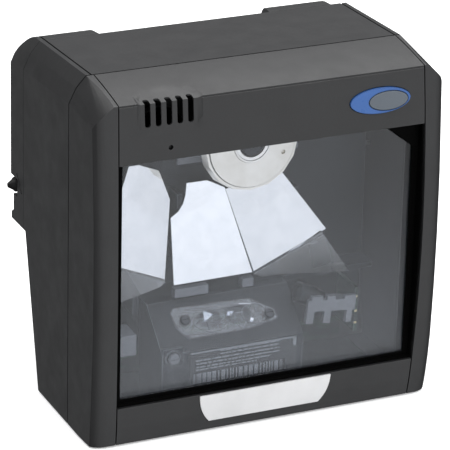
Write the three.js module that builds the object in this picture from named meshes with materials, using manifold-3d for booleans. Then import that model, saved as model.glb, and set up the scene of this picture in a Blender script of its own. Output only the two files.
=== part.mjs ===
// A compact vertical presentation scanner for a shop counter: a charcoal housing that stands upright,
// a framed front window, and behind it a spinning facet wheel, pattern mirrors and the laser optics.
// Millimetres. X runs to the right seen from the front, the front faces -Y, Z is up.
// The origin is on the counter, under the middle of the object's box.
import * as THREE from "three";
import Module from "manifold-3d";
import { ConvexGeometry } from "three/addons/geometries/ConvexGeometry.js";
import { mergeVertices } from "three/addons/utils/BufferGeometryUtils.js";

// ---- driving dimensions ----
const HALF_WIDTH = 76.5; // housing side faces
const TOP = 152; // highest line of the housing, at the parting line
const BODY_BOTTOM = 0.4; // the rubber feet hold the housing this far off the counter
const FRONT_EDGE_Y = -44.2; // front face at its top and bottom edges
const FRONT_BULGE = 3.75; // the front face swells forward by this at mid height
const BROW_EDGE_Z = 147.9; // where the front face turns back into the sloping brow
const BROW_MIDDLE_Z = 150.7; // pulls the brow's curve up in its middle
const PARTING_Y = -17.6; // joint between the front cover and the rear housing
const REAR_SEAM_Y = 33; // joint between the rear housing and the rear cover
const REAR_Y = 47.95; // rear face
const LEDGE_Z = 67; // underside of the overhanging rear half
const GAP = 0.3; // clearance between pieces that meet
const PARTING_GAP = 0.8; // the shadow line between the front cover and the rear housing
const WALL = 2.4; // housing wall
const SKIN = 1.9; // wall of the snap-on front panels
const FAR = 200; // longer than the object, for cutting blocks

const WINDOW_TOP_Z = 123.5;
const WINDOW_BOTTOM_Z = 17.7;
const GASKET_LIP_Y = -42.3; // front of the window gasket's lip
const GASKET_BACK_Y = -38.2;
const GASKET_WALL = 0.4;
const GLASS_FRONT_Y = -41.1;
const GLASS_THICK = 1.8;
const GLASS_HALF_WIDTH = 65;
const GLASS_BOTTOM_Z = 19;
const GLASS_TOP_Z = 122;

const WHEEL_X = -0.6; // the facet wheel's axle stands a little left of the middle
const WHEEL_Z = 117.2; // height of the facet wheel's axle
const WHEEL_FRONT_Y = -28;
const WHEEL_BACK_Y = -23;

const BUTTON_TILT = 0.0864; // radians: the front face leans back this much at the button
const BUTTON_AT = [47.1, -45.2, 135.9]; // centre of the oval bezel, on the front face
const BEZEL_HALF = [13.5, 5.4]; // half the bezel's width and height

const LIGHT_X = -44.5; // the pinhole light under the vent slots
const LIGHT_Z = 128.5;
const MIRROR_THICK = 1.8;
const FOOT_PLACES = [[-56, -29], [56, -29], [-50, 6], [50, 6]];
const SCREW_PLACES = [[-60, 92], [60, 92], [-60, 132], [60, 132]]; // x, z on the rear face
const PIN_Y = 44;
const PIN_Z = 83.1;

// ---- solids: three.js shapes, joined and cut with manifold-3d ----
const wasm = await Module();
wasm.setup();

function toSolid(geometry) {
  const bare = geometry.index ? geometry.toNonIndexed() : geometry.clone();
  bare.deleteAttribute("normal");
  bare.deleteAttribute("uv");
  const merged = mergeVertices(bare, 1e-3);
  const triVerts = new Uint32Array(merged.index.array);
  const vertProperties = merged.attributes.position.array;
  return new wasm.Manifold(new wasm.Mesh({ numProp: 3, vertProperties, triVerts }));
}

function toGeometry(solid) {
  const mesh = solid.getMesh();
  const geometry = new THREE.BufferGeometry();
  geometry.setAttribute("position", new THREE.BufferAttribute(new Float32Array(mesh.vertProperties), 3));
  geometry.setIndex(new THREE.BufferAttribute(new Uint32Array(mesh.triVerts), 1));
  const flat = geometry.toNonIndexed();
  flat.computeVertexNormals();
  return flat;
}

const join = (first, ...rest) => rest.reduce((made, piece) => made.add(piece), first);
const cut = (first, ...rest) => rest.reduce((made, piece) => made.subtract(piece), first);
const common = (first, ...rest) => rest.reduce((made, piece) => made.intersect(piece), first);

function block(x0, x1, y0, y1, z0, z1) {
  const geometry = new THREE.BoxGeometry(x1 - x0, y1 - y0, z1 - z0);
  return toSolid(geometry.translate((x0 + x1) / 2, (y0 + y1) / 2, (z0 + z1) / 2));
}

function extrude(shape, depth, curveSegments = 8) {
  return new THREE.ExtrudeGeometry(shape, { depth, bevelEnabled: false, curveSegments });
}

// Shapes are drawn in the plane they name, then pulled along the third axis.
function prismAlongX(shapeYZ, x0, x1) {
  const turn = new THREE.Matrix4().makeBasis(
    new THREE.Vector3(0, 1, 0),
    new THREE.Vector3(0, 0, 1),
    new THREE.Vector3(1, 0, 0),
  );
  return toSolid(extrude(shapeYZ, x1 - x0).applyMatrix4(turn).translate(x0, 0, 0));
}

function prismAlongY(shapeXZ, y0, y1) {
  return toSolid(extrude(shapeXZ, y1 - y0).rotateX(Math.PI / 2).translate(0, y1, 0));
}

function prismAlongZ(shapeXY, z0, z1) {
  return toSolid(extrude(shapeXY, z1 - z0).translate(0, 0, z0));
}

function rodAlongX(radius, y, z, x0, x1, sides = 12) {
  const geometry = new THREE.CylinderGeometry(radius, radius, x1 - x0, sides).rotateZ(Math.PI / 2);
  return toSolid(geometry.translate((x0 + x1) / 2, y, z));
}

function rodAlongY(radius, x, z, y0, y1, sides = 24) {
  const geometry = new THREE.CylinderGeometry(radius, radius, y1 - y0, sides);
  return toSolid(geometry.translate(x, (y0 + y1) / 2, z));
}

function rodAlongZ(radius, x, y, z0, z1, sides = 24) {
  const geometry = new THREE.CylinderGeometry(radius, radius, z1 - z0, sides).rotateX(Math.PI / 2);
  return toSolid(geometry.translate(x, y, (z0 + z1) / 2));
}

// A turned piece: profile holds [radius, distance along the axis] and starts and ends on the axis.
function turned(profile, sides = 24) {
  const points = profile.map(([radius, along]) => new THREE.Vector2(radius, along));
  return toSolid(new THREE.LatheGeometry(points, sides));
}

function polygon(points) {
  return new THREE.Shape(points.map(([u, v]) => new THREE.Vector2(u, v)));
}

function roundedRectangle(u0, u1, v0, v1, radius) {
  const shape = new THREE.Shape();
  shape.moveTo(u0 + radius, v0);
  shape.lineTo(u1 - radius, v0);
  shape.absarc(u1 - radius, v0 + radius, radius, -Math.PI / 2, 0);
  shape.absarc(u1 - radius, v1 - radius, radius, 0, Math.PI / 2);
  shape.absarc(u0 + radius, v1 - radius, radius, Math.PI / 2, Math.PI);
  shape.absarc(u0 + radius, v0 + radius, radius, Math.PI, Math.PI * 1.5);
  return shape;
}

function ellipse(u, v, halfU, halfV) {
  return new THREE.Shape(new THREE.EllipseCurve(u, v, halfU, halfV, 0, Math.PI * 2).getPoints(32).slice(0, 32));
}

// ---- the housing's outer form ----

// Moves every edge of a closed outline inward by the same distance.
function inset(points, distance) {
  const inward = THREE.ShapeUtils.isClockWise(points) ? -1 : 1;
  return points.map((point, i) => {
    const before = points[(i + points.length - 1) % points.length];
    const after = points[(i + 1) % points.length];
    const a = point.clone().sub(before).normalize();
    const b = after.clone().sub(point).normalize();
    const normalA = new THREE.Vector2(-a.y, a.x).multiplyScalar(inward);
    const normalB = new THREE.Vector2(-b.y, b.x).multiplyScalar(inward);
    const mitre = normalA.clone().add(normalB).divideScalar(1 + normalA.dot(normalB));
    return point.clone().add(mitre.multiplyScalar(distance));
  });
}

// Side view (y, z). The outside has a lip at the front and a stepped ledge at the rear; the inside is plain.
const PLAIN_FROM = 0.6; // insets deeper than this use the plain outline
const INSIDE_REAR_Y = 45.2;

function sideOutline(distance) {
  const plain = distance > PLAIN_FROM;
  const lip = plain ? 0 : 1.1;
  const rear = plain ? INSIDE_REAR_Y : REAR_Y;
  const side = new THREE.Shape();
  side.moveTo(FRONT_EDGE_Y + lip, BODY_BOTTOM);
  if (!plain) side.lineTo(FRONT_EDGE_Y, BODY_BOTTOM + lip);
  side.quadraticCurveTo(FRONT_EDGE_Y - 2 * FRONT_BULGE, BROW_EDGE_Z / 2, FRONT_EDGE_Y, BROW_EDGE_Z);
  side.quadraticCurveTo((FRONT_EDGE_Y + PARTING_Y) / 2, BROW_MIDDLE_Z, PARTING_Y, TOP);
  side.lineTo(38, 149.2);
  side.quadraticCurveTo(rear - 2.4, 148.2, rear, 140);
  if (!plain) {
    side.lineTo(rear, 84);
    side.lineTo(44.8, 81);
    side.lineTo(44.8, 71.5);
    side.lineTo(47.2, 70);
    side.lineTo(47.2, LEDGE_Z);
  } else {
    side.lineTo(rear, LEDGE_Z);
  }
  side.lineTo(31, LEDGE_Z);
  side.lineTo(16, BODY_BOTTOM);
  return new THREE.Shape(inset(side.getPoints(plain ? 5 : 9), distance));
}

// The two front corners follow the swell of the front face. Height, how far the corner is drawn in there.
const CORNER_STATIONS = [
  [-1, 1.2], [3, 0.8], [8, 0.5], [16, 0.2], [26, 0], [50, 0], [74, 0], [100, 0], [126, 0], [TOP + 2, 0],
];
// Plan view of a corner: distance in from the side face, distance back from the front face.
const CORNER_ROUND = [[0, 3.2], [1.4, 1.7], [3.4, 0.8], [6, 0.25], [10, 0]];

function frontAt(z) {
  const t = Math.min(Math.max(z / BROW_EDGE_Z, 0), 1);
  return FRONT_EDGE_Y - 4 * FRONT_BULGE * t * (1 - t);
}

function corneredBlock(distance) {
  const points = [];
  for (const [z, drawnIn] of CORNER_STATIONS) {
    const front = frontAt(z) - 0.3 + distance;
    for (const side of [-1, 1]) {
      for (const [fromSide, back] of CORNER_ROUND) {
        const x = HALF_WIDTH - distance - drawnIn * 0.5 - fromSide;
        points.push(new THREE.Vector3(side * x, front + back + drawnIn, z));
      }
      points.push(new THREE.Vector3(side * (HALF_WIDTH - distance), front + 16, z));
      points.push(new THREE.Vector3(side * (HALF_WIDTH - distance), REAR_Y + 1 - distance, z));
    }
  }
  return toSolid(new ConvexGeometry(points));
}

// The two long top chamfers: y station, lower edge height, top edge height, top edge distance from the middle.
const CHAMFER_STATIONS = [
  [-60, 138.2, 145.2, 66.4], [-44, 139.3, 148.4, 67.3], [PARTING_Y, 141, 152.3, 69],
  [38, 137.4, 149.5, 69], [60, 134.5, 144, 69],
];

// The bottom corners: y station, size of the corner cut. Only the front end is cut.
const BOTTOM_STATIONS = [[-60, 4], [-38, 0.05], [60, 0.05]];

function chamferedBlock(distance) {
  const points = [];
  for (const [y, size] of BOTTOM_STATIONS) {
    for (const side of [-1, 1]) {
      points.push(new THREE.Vector3(side * (HALF_WIDTH - distance - size), y, -distance));
      points.push(new THREE.Vector3(side * (HALF_WIDTH - distance), y, size * 1.2 - distance));
    }
  }
  for (const [y, low, high, topX] of CHAMFER_STATIONS) {
    for (const side of [-1, 1]) {
      points.push(new THREE.Vector3(side * (HALF_WIDTH - distance), y, low - distance * 0.6));
      const middleX = (topX + HALF_WIDTH) / 2 + 0.65 - distance * 0.8;
      points.push(new THREE.Vector3(side * middleX, y, (low + high) / 2 + 0.7 - distance * 0.8));
      points.push(new THREE.Vector3(side * (topX - distance * 0.6), y, high - distance));
      points.push(new THREE.Vector3(side * 20, y, high + 8));
    }
  }
  return toSolid(new ConvexGeometry(points));
}

// The whole outer form, shrunk on all sides by a distance.
function envelope(distance) {
  return common(
    prismAlongX(sideOutline(distance), -HALF_WIDTH - 2, HALF_WIDTH + 2),
    corneredBlock(distance),
    chamferedBlock(distance),
  );
}

const BAND_SHIFT = 0.5; // the centre band sits this far to the right of the middle

// The centre band between the two side cheeks, seen from the front; its edges swell slightly outward.
function bandOutline(grow) {
  const bottom = 66.1 + grow;
  const middle = 68.6 + grow;
  const top = 66.5 + grow;
  const band = new THREE.Shape();
  band.moveTo(-bottom, -2);
  band.lineTo(bottom, -2);
  band.quadraticCurveTo(middle, TOP / 2, top, TOP + 4);
  band.lineTo(-top, TOP + 4);
  band.quadraticCurveTo(-middle, TOP / 2, -bottom, -2);
  return band;
}

const band = (grow, y0, y1) => prismAlongY(bandOutline(grow), y0, y1).translate(BAND_SHIFT, 0, 0);
const OUTER = envelope(0);
const UNDER_SKIN = envelope(SKIN);
const INNER = envelope(WALL);
const INNERMOST = envelope(WALL + 2);

const VENT_SLOTS = [-53.7, -49.1, -44.5, -39.9, -35.3];
const SLOT_HALF_WIDTH = 1.25;
const SLOT_BOTTOM_Z = 137.3;
const SLOT_BACK_Y = -40;

// One vent slot: it starts round on the front face, climbs, and bends back over the brow.
function ventSlot(x) {
  const face = roundedRectangle(x - SLOT_HALF_WIDTH, x + SLOT_HALF_WIDTH, SLOT_BOTTOM_Z, TOP + 8, 1.2);
  const plan = roundedRectangle(x - SLOT_HALF_WIDTH, x + SLOT_HALF_WIDTH, -60, SLOT_BACK_Y, 1.2);
  return common(prismAlongY(face, -60, 0), prismAlongZ(plan, 100, TOP + 10));
}

// Height of the sloping brow, by distance back.
function browAt(y) {
  const t = Math.min(Math.max((y - FRONT_EDGE_Y) / (PARTING_Y - FRONT_EDGE_Y), 0), 1);
  return (1 - t) ** 2 * BROW_EDGE_Z + 2 * t * (1 - t) * BROW_MIDDLE_Z + t * t * TOP;
}

const POCKET = { middle: -44.5, half: 12.1, bottomZ: 135, backY: -35.6, frontRound: 2.4, backRound: 6 };
const POCKET_DEPTH = 1;
const POCKET_SLOPE = 1.9; // how far the pocket's walls lean out over its depth
const OVERSHOOT = 0.3; // the cutter stands this far out of the surface

// One half of the pocket's outline, widened by grow and lifted off the surface: the half on the front
// face or the half on the brow. Both end on the edge between the two.
function pocketHalf(onFront, grow, lift) {
  const points = [];
  const halfWidth = POCKET.half + grow;
  const radius = (onFront ? POCKET.frontRound : POCKET.backRound) + grow;
  for (const side of [-1, 1]) {
    for (const angle of [0, 0.25, 0.5, 0.75, 1].map((share) => (share * Math.PI) / 2)) {
      const x = POCKET.middle + side * (halfWidth - radius * (1 - Math.sin(angle)));
      const toEnd = radius * (1 - Math.cos(angle)) - grow;
      const z = POCKET.bottomZ + toEnd;
      const y = POCKET.backY - toEnd;
      points.push(onFront ? new THREE.Vector3(x, frontAt(z) - lift, z) : new THREE.Vector3(x, y, browAt(y) + lift));
    }
    points.push(new THREE.Vector3(POCKET.middle + side * halfWidth, FRONT_EDGE_Y - lift, BROW_EDGE_Z + lift));
  }
  return points;
}

// The shallow pocket round the vent slots, with sloping walls.
function ventPocket() {
  const outGrow = POCKET_SLOPE * (1 + OVERSHOOT / POCKET_DEPTH);
  const [onFace, onBrow] = [true, false].map((onFront) => toSolid(new ConvexGeometry([
    ...pocketHalf(onFront, 0, -POCKET_DEPTH), ...pocketHalf(onFront, outGrow, OVERSHOOT),
  ])));
  return join(onFace, onBrow);
}

// ---- housing pieces ----

function frontCover() {
  const inFront = block(-FAR, FAR, -FAR, PARTING_Y - PARTING_GAP / 2, -FAR, FAR);
  const cavity = cut(INNER, band(WALL, -60, -36));
  const cheeks = cut(common(cut(OUTER, cavity), inFront), band(GAP - 0.05, -FAR, FAR));
  const layer = cut(envelope(SKIN + GAP), INNERMOST);
  const topRail = common(layer, inFront, block(-72, 72, -FAR, FAR, WINDOW_TOP_Z + 2.7, FAR));
  const bottomRail = common(layer, block(-72, 72, -FAR, -36.2, 3, WINDOW_BOTTOM_Z - 2.7));
  const speakerHole = block(-59.5, -31.5, -60, -34, 130, TOP);
  const buttonHole = prismAlongY(ellipse(BUTTON_AT[0], 135.4, 15, 6.8), -60, -34);
  const lightHole = rodAlongY(1.4, LIGHT_X, LIGHT_Z, -60, -34, 16);
  return cut(join(cheeks, topRail, bottomRail), speakerHole, buttonHole, lightHole);
}

function browFascia() {
  const region = common(
    band(-GAP + 0.05, -60, 20),
    block(-FAR, FAR, -FAR, PARTING_Y - PARTING_GAP / 2, WINDOW_TOP_Z, FAR),
  );
  const shell = common(cut(OUTER, UNDER_SKIN), region);
  const lip = common(OUTER, region, block(-FAR, FAR, -60, -41.6, WINDOW_TOP_Z, WINDOW_TOP_Z + 2.2));
  const buttonHole = prismAlongY(ellipse(0, 0, BEZEL_HALF[0] + GAP, BEZEL_HALF[1] + GAP), -12, 12)
    .rotate([-BUTTON_TILT * THREE.MathUtils.RAD2DEG, 0, 0])
    .translate(BUTTON_AT);
  const lightHole = rodAlongY(1.05, LIGHT_X, LIGHT_Z, -60, -34, 16);
  const crease = rodAlongX(0.4, FRONT_EDGE_Y - 0.2, BROW_EDGE_Z - 0.7, -70, 70);
  return cut(join(shell, lip), ventPocket(), buttonHole, lightHole, crease, ...VENT_SLOTS.map(ventSlot));
}

function namePlateOutline(grow) {
  const plate = new THREE.Shape();
  plate.moveTo(-25 - grow, 4.9 - grow);
  plate.lineTo(24.5 + grow, 4.9 - grow);
  plate.quadraticCurveTo(29.3 + grow, 10, 29.3 + grow, 17.2 + grow);
  plate.lineTo(-29.6 - grow, 17.2 + grow);
  plate.quadraticCurveTo(-29.6 - grow, 10, -25 - grow, 4.9 - grow);
  return plate;
}

function lowerBar() {
  const region = common(band(-GAP + 0.05, -60, 20), block(-FAR, FAR, -FAR, -36, -FAR, WINDOW_BOTTOM_Z));
  const shell = common(cut(OUTER, UNDER_SKIN), region);
  const lip = common(OUTER, region, block(-FAR, FAR, -60, -41.6, WINDOW_BOTTOM_Z - 2.2, WINDOW_BOTTOM_Z));
  const seat = cut(prismAlongY(namePlateOutline(GAP), -60, -35), envelope(0.6));
  return cut(join(shell, lip), seat);
}

function namePlate() {
  const plate = prismAlongY(namePlateOutline(0), -60, -30);
  return cut(common(envelope(-0.5), plate), envelope(0.3));
}

// A notch in the top rear edge, between the two raised ears, for the stand's hook to reach in.
function rearNotch(grow) {
  const low = 143 - grow;
  const wide = polygon([[-46.5 - grow, 60], [-43 - grow, 30], [33 + grow, 30], [38.5 + grow, 60]]);
  const narrow = polygon([[60.5 - grow, 60], [62.5 - grow, 30], [80, 30], [80, 60]]);
  const behind = block(-FAR, FAR, REAR_SEAM_Y - grow, FAR, 0, FAR);
  return common(join(prismAlongZ(wide, low, FAR), prismAlongZ(narrow, low, FAR)), behind);
}

function topGrooves() {
  const depthLine = envelope(0.8);
  const strips = [-1, 1].map((side) => block(side * 67 - 0.35, side * 67 + 0.35, -20, 60, 140, FAR));
  return cut(join(...strips), depthLine);
}

function connectorHoles() {
  return join(...CONNECTORS.map(({ x, halfWidth, z, height }) =>
    block(x - halfWidth - 0.5, x + halfWidth + 0.5, 10, 60, z - 0.5, z + height + 0.5)));
}

function rearHousing() {
  const region = block(-FAR, FAR, PARTING_Y + PARTING_GAP / 2, REAR_SEAM_Y - GAP / 2, -FAR, FAR);
  const shell = common(cut(OUTER, INNER), region);
  const flange = common(envelope(0.5), block(-50, 70, 30.4, REAR_SEAM_Y - GAP / 2, 139, FAR));
  const bosses = SCREW_PLACES.map(([x, z]) => {
    const wallSide = Math.sign(x) * 74.6;
    const rib = block(Math.min(x, wallSide), Math.max(x, wallSide), 14, 30, z - 1.2, z + 1.2);
    return join(rodAlongY(4, x, z, 14, 41, 16), rib);
  });
  const pilotHoles = SCREW_PLACES.map(([x, z]) => rodAlongY(1.9, x, z, 28, 42, 12));
  const plateSeat = block(-65.7, 65.7, -40, 14.2, -5, 3);
  return cut(join(shell, flange, ...bosses), topGrooves(), connectorHoles(), plateSeat, ...pilotHoles);
}

function rearCover() {
  const region = block(-FAR, FAR, REAR_SEAM_Y + GAP / 2, FAR, -FAR, FAR);
  const pinPockets = [-1, 1].map((side) => pinPocket(side, 0));
  const cavity = cut(INNER, rearNotch(2), pinPocket(-1, 2), pinPocket(1, 2));
  const shell = common(cut(OUTER, cavity), region);
  const screwHoles = SCREW_PLACES.flatMap(([x, z]) => [
    rodAlongY(1.9, x, z, 38, 50, 12),
    rodAlongY(3.3, x, z, 46.1, 50, 20),
  ]);
  const armSlots = [-1, 1].map((side) => {
    const outline = polygon([[41.2, 89.2], [40.3, 89.6], [34.8, 82.2], [35.9, 81.6]]);
    const x = side * (HALF_WIDTH - 0.4);
    return prismAlongX(outline, Math.min(x, x + side), Math.max(x, x + side));
  });
  return cut(shell, rearNotch(0), topGrooves(), ...pinPockets, ...screwHoles, ...armSlots);
}

// The open pocket in each rear side edge that the stand pin stands in.
function pinPocket(side, grow) {
  const inside = side * (71.4 - grow);
  const outside = side * 90;
  const x = [Math.min(inside, outside), Math.max(inside, outside)];
  return block(x[0], x[1], 40.4 - grow, 60, PIN_Z - 4.2 - grow, PIN_Z + 3.6 + grow);
}

function basePlate() {
  const outline = roundedRectangle(-65.3, 65.3, -35.6, 13.2, 2);
  const pockets = FOOT_PLACES.map(([x, y]) => rodAlongZ(5 + GAP, x, y, 0, 2.1, 20));
  return cut(prismAlongZ(outline, BODY_BOTTOM, 2.9), ...pockets);
}

function rubberFoot() {
  return turned([[0, 0], [4.4, 0], [5, 0.5], [5, 1.8], [0, 1.8]], 20).rotate([90, 0, 0]);
}

// ---- window ----

// A black frame: its walls line the window well, and its lip hides the edges of the glass behind it.
function windowGasket() {
  const region = block(-FAR, FAR, -FAR, FAR, WINDOW_BOTTOM_Z + GAP, WINDOW_TOP_Z - GAP);
  const outer = common(band(-GAP, -60, GASKET_BACK_Y), envelope(1.2), region);
  const well = common(
    band(-GAP - GASKET_WALL, -60, GASKET_LIP_Y),
    block(-FAR, FAR, -FAR, FAR, WINDOW_BOTTOM_Z + GAP + 0.6, FAR),
  );
  const glassSeat = prismAlongY(glassOutline(GAP), GLASS_FRONT_Y - GAP, 0);
  const opening = polygon([
    [-63.5, 20], [64.5, 20], [64.5, 112.4], [51.6, GLASS_TOP_Z + 0.4], [-63.5, GLASS_TOP_Z + 0.4],
  ]);
  return cut(outer, well, glassSeat, prismAlongY(opening, -60, 0));
}

const glassOutline = (grow) => roundedRectangle(
  BAND_SHIFT - GLASS_HALF_WIDTH - grow, BAND_SHIFT + GLASS_HALF_WIDTH + grow,
  GLASS_BOTTOM_Z - grow, GLASS_TOP_Z + grow, 1,
);

function windowGlass() {
  return prismAlongY(glassOutline(0), GLASS_FRONT_Y, GLASS_FRONT_Y + GLASS_THICK);
}

// ---- button, light and speaker, drawn at the front face and leaning with it ----

const BUTTON_SHIFT = 3.6; // the button sits to the right inside its bezel

function buttonBezel() {
  const rim = prismAlongY(ellipse(0, 0, ...BEZEL_HALF), -0.7, 2.3);
  return cut(rim, prismAlongY(ellipse(BUTTON_SHIFT, -0.4, 8.7 + 0.25, 3.9 + 0.25), -3, 5));
}

function pushButton() {
  const cap = prismAlongY(ellipse(BUTTON_SHIFT, -0.4, 8.7, 3.9), -1, 1.4);
  return join(cap, rodAlongY(1.5, BUTTON_SHIFT, -0.4, 1, 5.6, 16));
}

function switchPlunger() {
  return rodAlongY(1.3, BUTTON_SHIFT, -0.4, 5.9, 7.9, 16);
}

function switchBody() {
  const body = block(BUTTON_SHIFT - 3, BUTTON_SHIFT + 3, 7.1, 10.6, -3.4, 2.6);
  return cut(body, rodAlongY(1.45, BUTTON_SHIFT, -0.4, 6, 9.4, 16));
}

function buttonBoard() {
  return block(-9, 13, 10.9, 12.3, -8, 7);
}

function speaker() {
  const profile = [[0, 0.9], [2.6, 0.6], [6.8, 2.2], [8.4, 1.6], [9.6, 1.6], [9.8, 0], [10, 0], [10, 3.4], [6, 5], [0, 5]];
  return turned(profile, 28);
}

function speakerBracket() {
  const plate = block(-58, -25, -31.1, -29.6, 121, 143.5);
  return cut(plate, rodAlongY(4.5, -45.5, 132.5, -40, 0, 20));
}

// ---- scan engine ----

// Each mirror is drawn in its own plane: anchor point, turn about the upright, lean back, outline.
const MIRRORS = {
  mirror_left: {
    at: [-48, -24, 70], turn: 18, lean: 14,
    outline: [[2, 40.4], [7.2, 39.8], [17.3, 35], [20.7, 22], [11.6, -10.5], [-11.2, -0.4], [-11, 20]],
  },
  mirror_center: {
    at: [-15, -20, 58], turn: 0, lean: 14,
    outline: [
      [-7, 39.8], [2.3, 39.8], [9.9, 35.8], [19.4, -1.4], [-16.2, -1.7], [-15.2, 26.4], [-11.6, 28.6],
      [-9.3, 31.4], [-7.9, 34.8],
    ],
  },
  mirror_right: {
    at: [5, -20, 57], turn: -12, lean: 15,
    outline: [[-11, 35], [13, 41.1], [31.4, 15.8], [-0.1, -0.2]],
  },
  mirror_lower_left: {
    at: [-48, -29.5, 66], turn: 0, lean: -30,
    outline: [[-13.4, 8.9], [10.4, -5.1], [8.5, -8], [-7.9, -14.7], [-13.4, -14.7]],
  },
  mirror_lower_right: {
    at: [10, -18, 58], turn: 0, lean: -30,
    outline: [[-3, -5.2], [24, 15.2], [44, -14.6], [12, -9.1], [2, -8.6]],
  },
};

// Puts a solid drawn in x (right) and z (up the mirror), with its face at y = 0, into a mirror's plane.
function inMirrorPlane(solid, { at, turn, lean }) {
  return solid.rotate([-lean, 0, 0]).rotate([0, 0, turn]).translate(at);
}

const mirrorPane = (spec) => inMirrorPlane(prismAlongY(polygon(spec.outline), 0, MIRROR_THICK), spec);

// Everything in front of a mirror's back face, over the mirror's own area and a little more.
function mirrorClearance(spec) {
  const outline = inset(spec.outline.map(([u, v]) => new THREE.Vector2(u, v)), -GAP);
  return inMirrorPlane(prismAlongY(new THREE.Shape(outline), -60, MIRROR_THICK + GAP), spec);
}

const CHASSIS_Y = -1.5; // front face of the chassis plate
const RIB_THICK = 2.4;
const MIRROR_FOOT_Y = -20; // the middle mirror's face at its lower edge
const MIRROR_FOOT_Z = 58;
const MIRROR_LEAN = THREE.MathUtils.degToRad(14);

function opticalChassis() {
  const plate = block(-64, 64, CHASSIS_Y, CHASSIS_Y + 2.4, 22, 136);
  const shelf = block(-64, 64, -12, CHASSIS_Y + 1, 46.5, 49);
  const rib = (x, low, high) => {
    const behindMirror = (z) => MIRROR_FOOT_Y + 1.5 + (z - MIRROR_FOOT_Z) * Math.tan(MIRROR_LEAN);
    const side = [[behindMirror(low), low], [behindMirror(high), high], [CHASSIS_Y + 1, high], [CHASSIS_Y + 1, low]];
    return prismAlongX(polygon(side), x, x + RIB_THICK);
  };
  const ribs = [[-56, 68, 94], [-41, 66, 100], [-26, 62, 92], [-8, 62, 92], [9, 62, 92], [26, 72, 88]];
  const stub = block(-50, -50 + RIB_THICK, -22, CHASSIS_Y + 1, 47, 60);
  const posts = [[-17, 106], [17, 106], [-17, 130], [17, 130]].map(([x, z]) =>
    rodAlongY(2.2, x, z, -6.2, CHASSIS_Y + 1, 12));
  const window = block(-20, 14, CHASSIS_Y - 1, CHASSIS_Y + 4, 24, 40);
  const clearances = Object.values(MIRRORS).map(mirrorClearance);
  return cut(join(plate, shelf, ...ribs.map((where) => rib(...where)), stub, ...posts), window, ...clearances);
}

function mirrorClipWide() {
  return block(-31.5, -16.5, -22.6, -19.2, 51.6, 55.4);
}

function mirrorClipSmall() {
  return block(-0.6, 4.4, -21.4, -17.6, 51, 54.8);
}

// The wheel's facets lean forward, so it is wider at the back; a turned face plate covers its front.
const FACETS = 16;

function facetWheel() {
  const depth = WHEEL_BACK_Y - WHEEL_FRONT_Y;
  const drum = toSolid(new THREE.CylinderGeometry(21.4, 20.4, depth - 1, FACETS).translate(0, depth / 2 + 0.5, 0));
  const facePlate = turned([
    [0, 0.4], [7.2, 0.4], [7.4, 0.1], [8.2, 0.1], [8.4, 0.4], [18.8, 0.4], [19.2, 0.8], [19.2, 2], [0, 2],
  ], 48);
  const bore = rodAlongY(5.9, 0, 0, -20, 20, 28);
  const dimple = rodAlongY(1, 13.7, -5.4, -1, 1.6, 12);
  return cut(join(drum, facePlate), bore, dimple);
}

function rotorHub() {
  const profile = [[0, 0], [4.8, 0], [5.6, 0.8], [5.6, 8.2], [0, 8.2]];
  return cut(turned(profile, 28), rodAlongY(1.75, 0, 0, -2, 12, 16));
}

function spindle() {
  return turned([[0, -0.6], [1, -0.6], [1.4, -0.2], [1.4, 18], [0, 18]], 16);
}

function motorCan() {
  const profile = [[0, 0], [9, 0], [12, 1.2], [12, 9], [10.4, 10.2], [0, 10.2]];
  return cut(turned(profile, 28), rodAlongY(1.75, 0, 0, -1, 9.2, 16));
}

function motorBracket() {
  const plate = block(-28, 26, -14.6, -13.4, 106.8, 134);
  return cut(plate, rodAlongY(12 + GAP, WHEEL_X, WHEEL_Z, -30, 0, 28));
}

function motorBoard() {
  return block(-21, 21, -8.2, -6.6, 104, 134);
}

// ---- collector, laser and electronics ----

const SLOPE = { at: [-15, -28.5, 41.7], turn: 0, lean: 46 };
const COVER_FRONT_Y = -37;
const COVER_TOP_Z = 33.6;

const COVER_WALL = 1.4;

// Side view of the cover: upright front, sloping lid, short level top.
const coverOutline = (shrink, bottom, back) => polygon([
  [COVER_FRONT_Y + shrink, bottom], [COVER_FRONT_Y + shrink, COVER_TOP_Z - shrink * 0.4],
  [-19.8 + shrink * 0.4, 49.6 - shrink], [back, 49.6 - shrink], [back, bottom],
]);

function electronicsCover() {
  const outside = prismAlongX(coverOutline(0, 5.6, -13), -43, 20.4);
  const hollow = prismAlongX(coverOutline(COVER_WALL, 2, -9), -43 + COVER_WALL, 20.4 - COVER_WALL);
  const tab = block(-42.8, -33.6, COVER_FRONT_Y - 0.2, COVER_FRONT_Y + 1.2, 28, 36.4);
  const boss = rodAlongY(3.3, -38.2, 32.2, COVER_FRONT_Y - 0.6, COVER_FRONT_Y + 3.4, 20);
  const opening = inMirrorPlane(block(-16, 18, -4, 5, -3.8, 4.8), SLOPE);
  const screwHole = rodAlongY(1.5, -38.2, 32.2, -45, -30, 12);
  return cut(join(cut(outside, hollow), tab, boss), opening, screwHole);
}

function ratingLabel() {
  return block(-30.8, 17.2, COVER_FRONT_Y - 0.7, COVER_FRONT_Y - GAP, 18.8, 33.3);
}

function screw(headRadius, headHeight, shankRadius, shankLength) {
  const slot = block(-FAR, FAR, -1, 0.5, -0.3, 0.3);
  const body = turned([
    [0, 0], [headRadius * 0.8, 0], [headRadius, headHeight * 0.4], [headRadius, headHeight],
    [shankRadius, headHeight], [shankRadius, headHeight + shankLength], [0, headHeight + shankLength],
  ], 20);
  return cut(body, common(slot, block(-headRadius * 0.65, headRadius * 0.65, -1, 1, -1, 1)));
}

const COLLECTOR_SCREWS = [[-14.7, 1.2], [22.4, -1.6]];

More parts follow.
